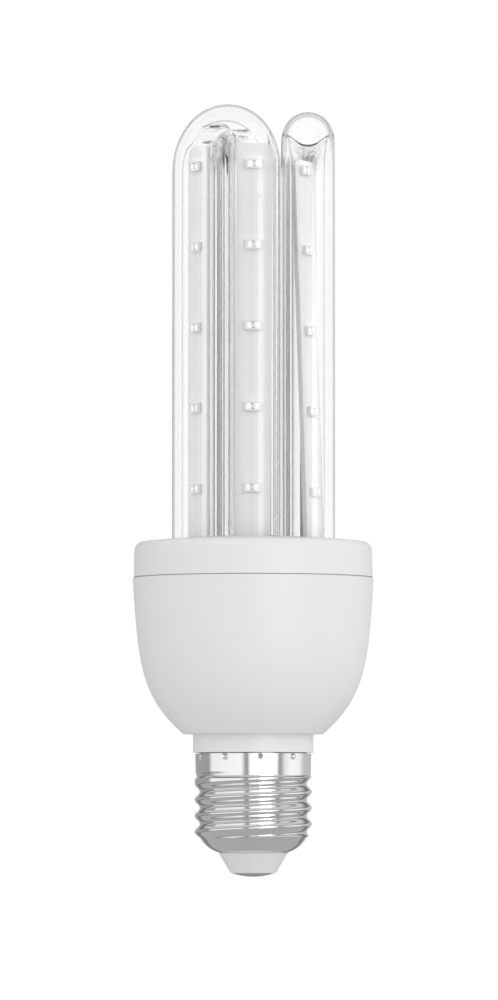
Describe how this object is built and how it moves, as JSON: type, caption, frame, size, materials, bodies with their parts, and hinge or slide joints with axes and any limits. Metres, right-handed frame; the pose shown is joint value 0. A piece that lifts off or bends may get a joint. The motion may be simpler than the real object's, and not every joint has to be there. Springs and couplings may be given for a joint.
{
  "type": "led insect killer lamp",
  "caption": "Screw-cap lamp with a bowl-shaped white housing and clear glass U-tubes that hold upright LED strips.",
  "frame": {"origin": "lowest point of the domed centre contact, on the lamp's axis", "axes": "+Z along the lamp's axis from the contact towards the tubes' bends; -Y is the front"},
  "size_m": [0.0544, 0.0544, 0.1738],
  "materials": {
    "cap_metal": "bright nickel-plated sheet, rolled",
    "contact_metal": "dull tinned metal",
    "cap_insulator": "light grey moulding",
    "housing": "satin white moulding",
    "tube_glass": "clear drawn glass",
    "cement": "white tube cement",
    "white_board": "white solder mask, satin",
    "led_package": "pale moulded package",
    "green_board": "green solder mask",
    "sleeve_dark": "shrink sleeve",
    "resin_red": "dipped resin",
    "ferrite": "sintered ferrite",
    "copper_wire": "enamelled copper",
    "moulded_black": "moulded epoxy",
    "resistor_coat": "lacquer on ceramic",
    "wire_white": "wire insulation",
    "wire_black": "wire insulation",
    "wire_red": "wire insulation"
  },
  "bodies": {
    "root": {"bridge_rectifier": "moulded_black", "cap_insulator": "cap_insulator", "centre_contact": "contact_metal", "choke_core": "ferrite", "choke_winding": "copper_wire", "contact_lead": "wire_black", "driver_board": "green_board", "driver_chip": "moulded_black", "film_capacitor": "resin_red", "glass_tube_left": "tube_glass", "glass_tube_rear": "tube_glass", "glass_tube_right": "tube_glass", "input_resistor": "resistor_coat", "led_chips_1": "led_package", "led_chips_2": "led_package", "led_chips_3": "led_package", "led_chips_4": "led_package", "led_chips_5": "led_package", "led_chips_6": "led_package", "led_strip_1": "white_board", "led_strip_2": "white_board", "led_strip_3": "white_board", "led_strip_4": "white_board", "led_strip_5": "white_board", "led_strip_6": "white_board", "lower_housing": "housing", "output_lead_negative": "wire_black", "output_lead_positive": "wire_red", "screw_shell": "cap_metal", "shell_lead": "wire_white", "smoothing_capacitor": "sleeve_dark", "strip_board": "white_board", "tube_cement": "cement", "upper_cover": "housing"}
  },
  "joints": []
}
